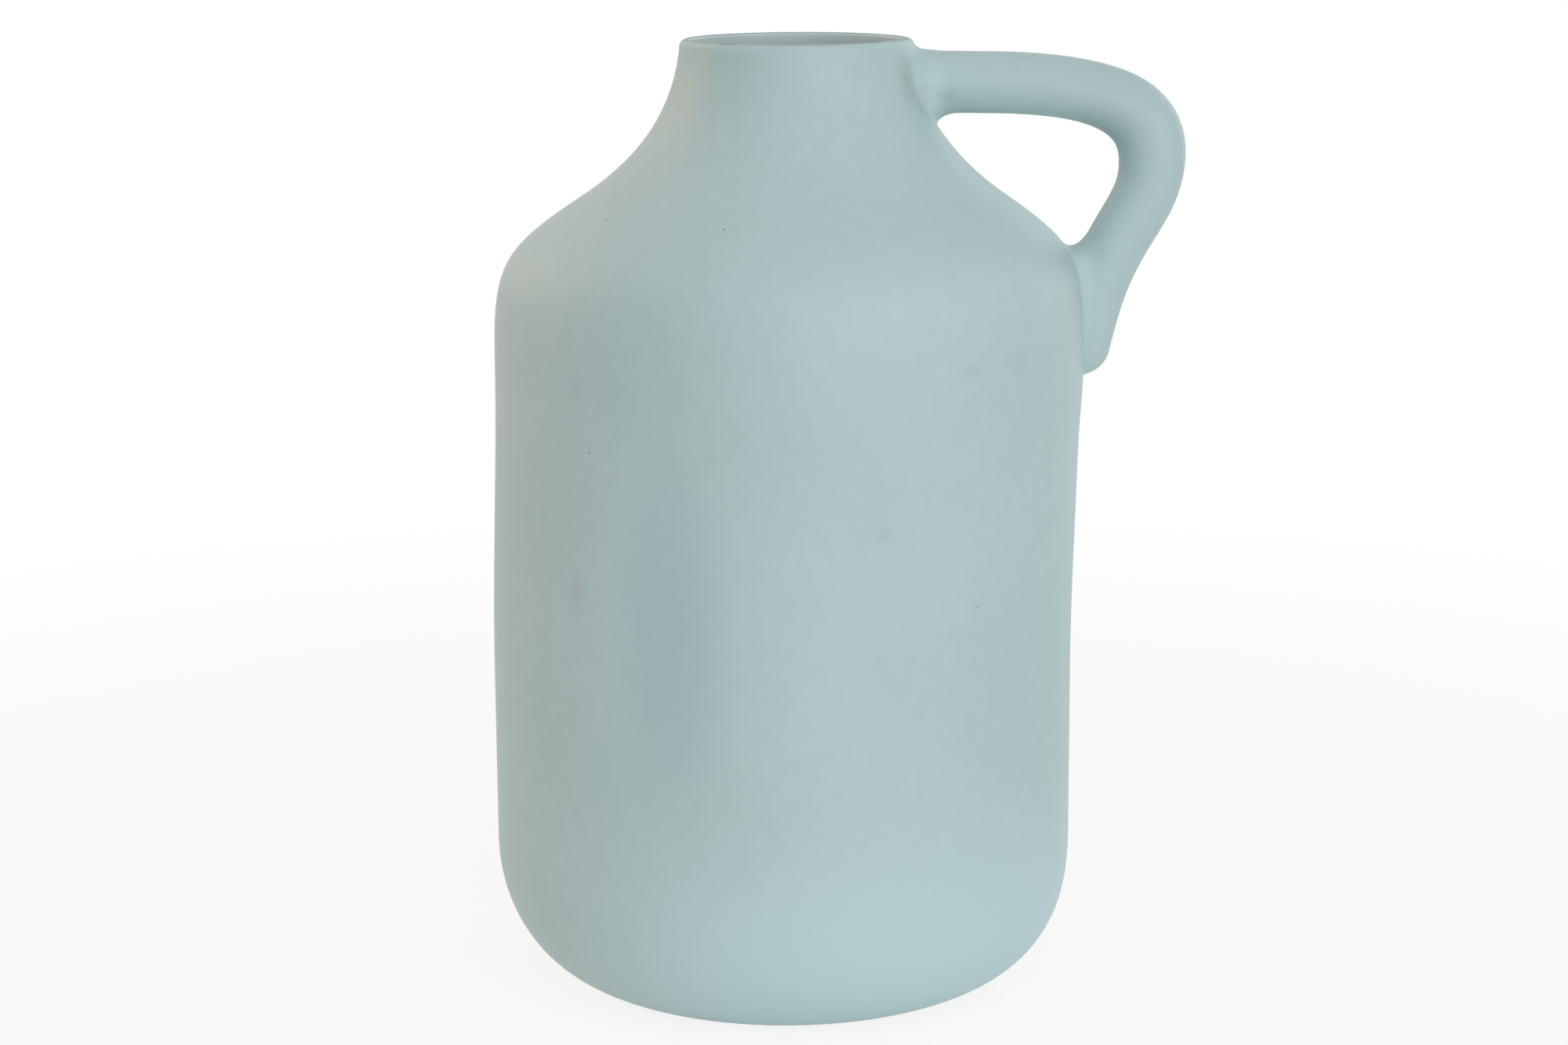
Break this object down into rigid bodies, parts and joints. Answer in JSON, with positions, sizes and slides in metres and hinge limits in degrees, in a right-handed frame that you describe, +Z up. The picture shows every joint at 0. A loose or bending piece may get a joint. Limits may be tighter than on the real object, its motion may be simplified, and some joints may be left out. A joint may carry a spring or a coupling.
{
  "type": "stoneware vase with side handle",
  "caption": "Tall drum-shaped stoneware vase with a sloped shoulder, a narrow open neck and a looped rod handle from the lip to the shoulder.",
  "frame": {"origin": "centre of the flat foot, on the surface that the vase stands on", "axes": "+Z up through the mouth, +X from the body out through the handle, +Y across the handle"},
  "size_m": [0.2193, 0.185, 0.3],
  "materials": {
    "glazed_stoneware": "satin-matt pale blue-green glaze",
    "glazed_slip": "satin-matt pale blue-green glaze"
  },
  "bodies": {
    "root": {"vase_body": "glazed_stoneware", "handle": "glazed_stoneware", "neck_slip_joint": "glazed_slip", "shoulder_slip_joint": "glazed_slip"}
  },
  "joints": []
}
